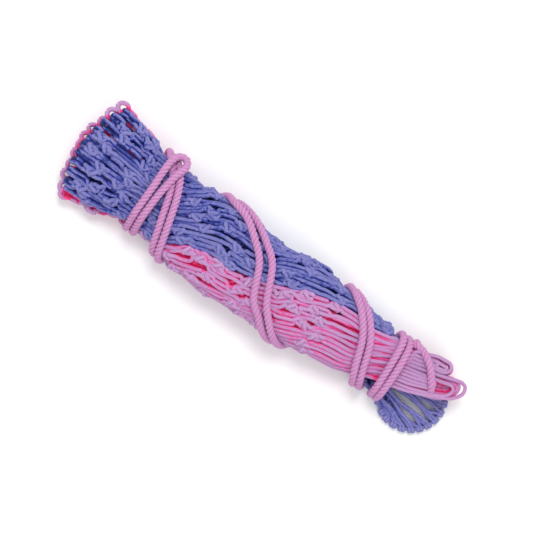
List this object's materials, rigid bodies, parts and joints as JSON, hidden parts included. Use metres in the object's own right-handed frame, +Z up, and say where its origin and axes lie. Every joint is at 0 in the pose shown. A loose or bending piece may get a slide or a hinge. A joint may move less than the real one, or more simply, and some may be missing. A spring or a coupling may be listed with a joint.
{
  "type": "hay net",
  "caption": "Knotted two-colour hay net gathered lengthwise, folded in half and bound with its laid drawcord; base ring and mouth loops at one end.",
  "frame": {"origin": "centre of the bundle's footprint, on the surface it lies on", "axes": "+X along the bundle from its folded end to its mouth end, +Z up"},
  "size_m": [0.5116, 0.1364, 0.0667],
  "materials": {
    "blue_twine": "soft braided twine, matt with a faint sheen",
    "pink_twine": "soft braided twine, matt with a faint sheen",
    "drawcord": "three-strand laid rope, matt with a faint sheen",
    "ring_cord": "laid cord grommet under hitched twine"
  },
  "bodies": {
    "bundle": {"blue_net_run": "blue_twine", "pink_net_run": "pink_twine", "drawcord_wrap_a": "drawcord", "drawcord_wrap_b": "drawcord", "drawcord_hitch_a": "drawcord", "drawcord_hitch_b": "drawcord"},
    "fold_end": {"blue_net_fold": "blue_twine", "pink_net_fold": "pink_twine", "fold_rim_loops": "pink_twine"},
    "mouth_end": {"mouth_loops_upper": "pink_twine", "mouth_loops_lower": "pink_twine", "drawcord_mouth_strand": "drawcord"},
    "base_end": {"base_ring": "ring_cord", "base_ring_hitches": "blue_twine", "base_net_web": "blue_twine"}
  },
  "joints": [
    {"name": "fold_end_lift", "type": "hinge", "parent": "bundle", "child": "fold_end", "pos_m": [-0.1735, 0, 0.045], "axis": [0, 1, 0], "range_deg": [0, 30]},
    {"name": "mouth_end_lift", "type": "hinge", "parent": "bundle", "child": "mouth_end", "pos_m": [0.186, 0, 0.048], "axis": [0, -1, 0], "range_deg": [0, 45]},
    {"name": "base_end_swing", "type": "hinge", "parent": "bundle", "child": "base_end", "pos_m": [0.168, -0.014, 0.0046], "axis": [0, 0, 1], "range_deg": [-10, 10]}
  ]
}
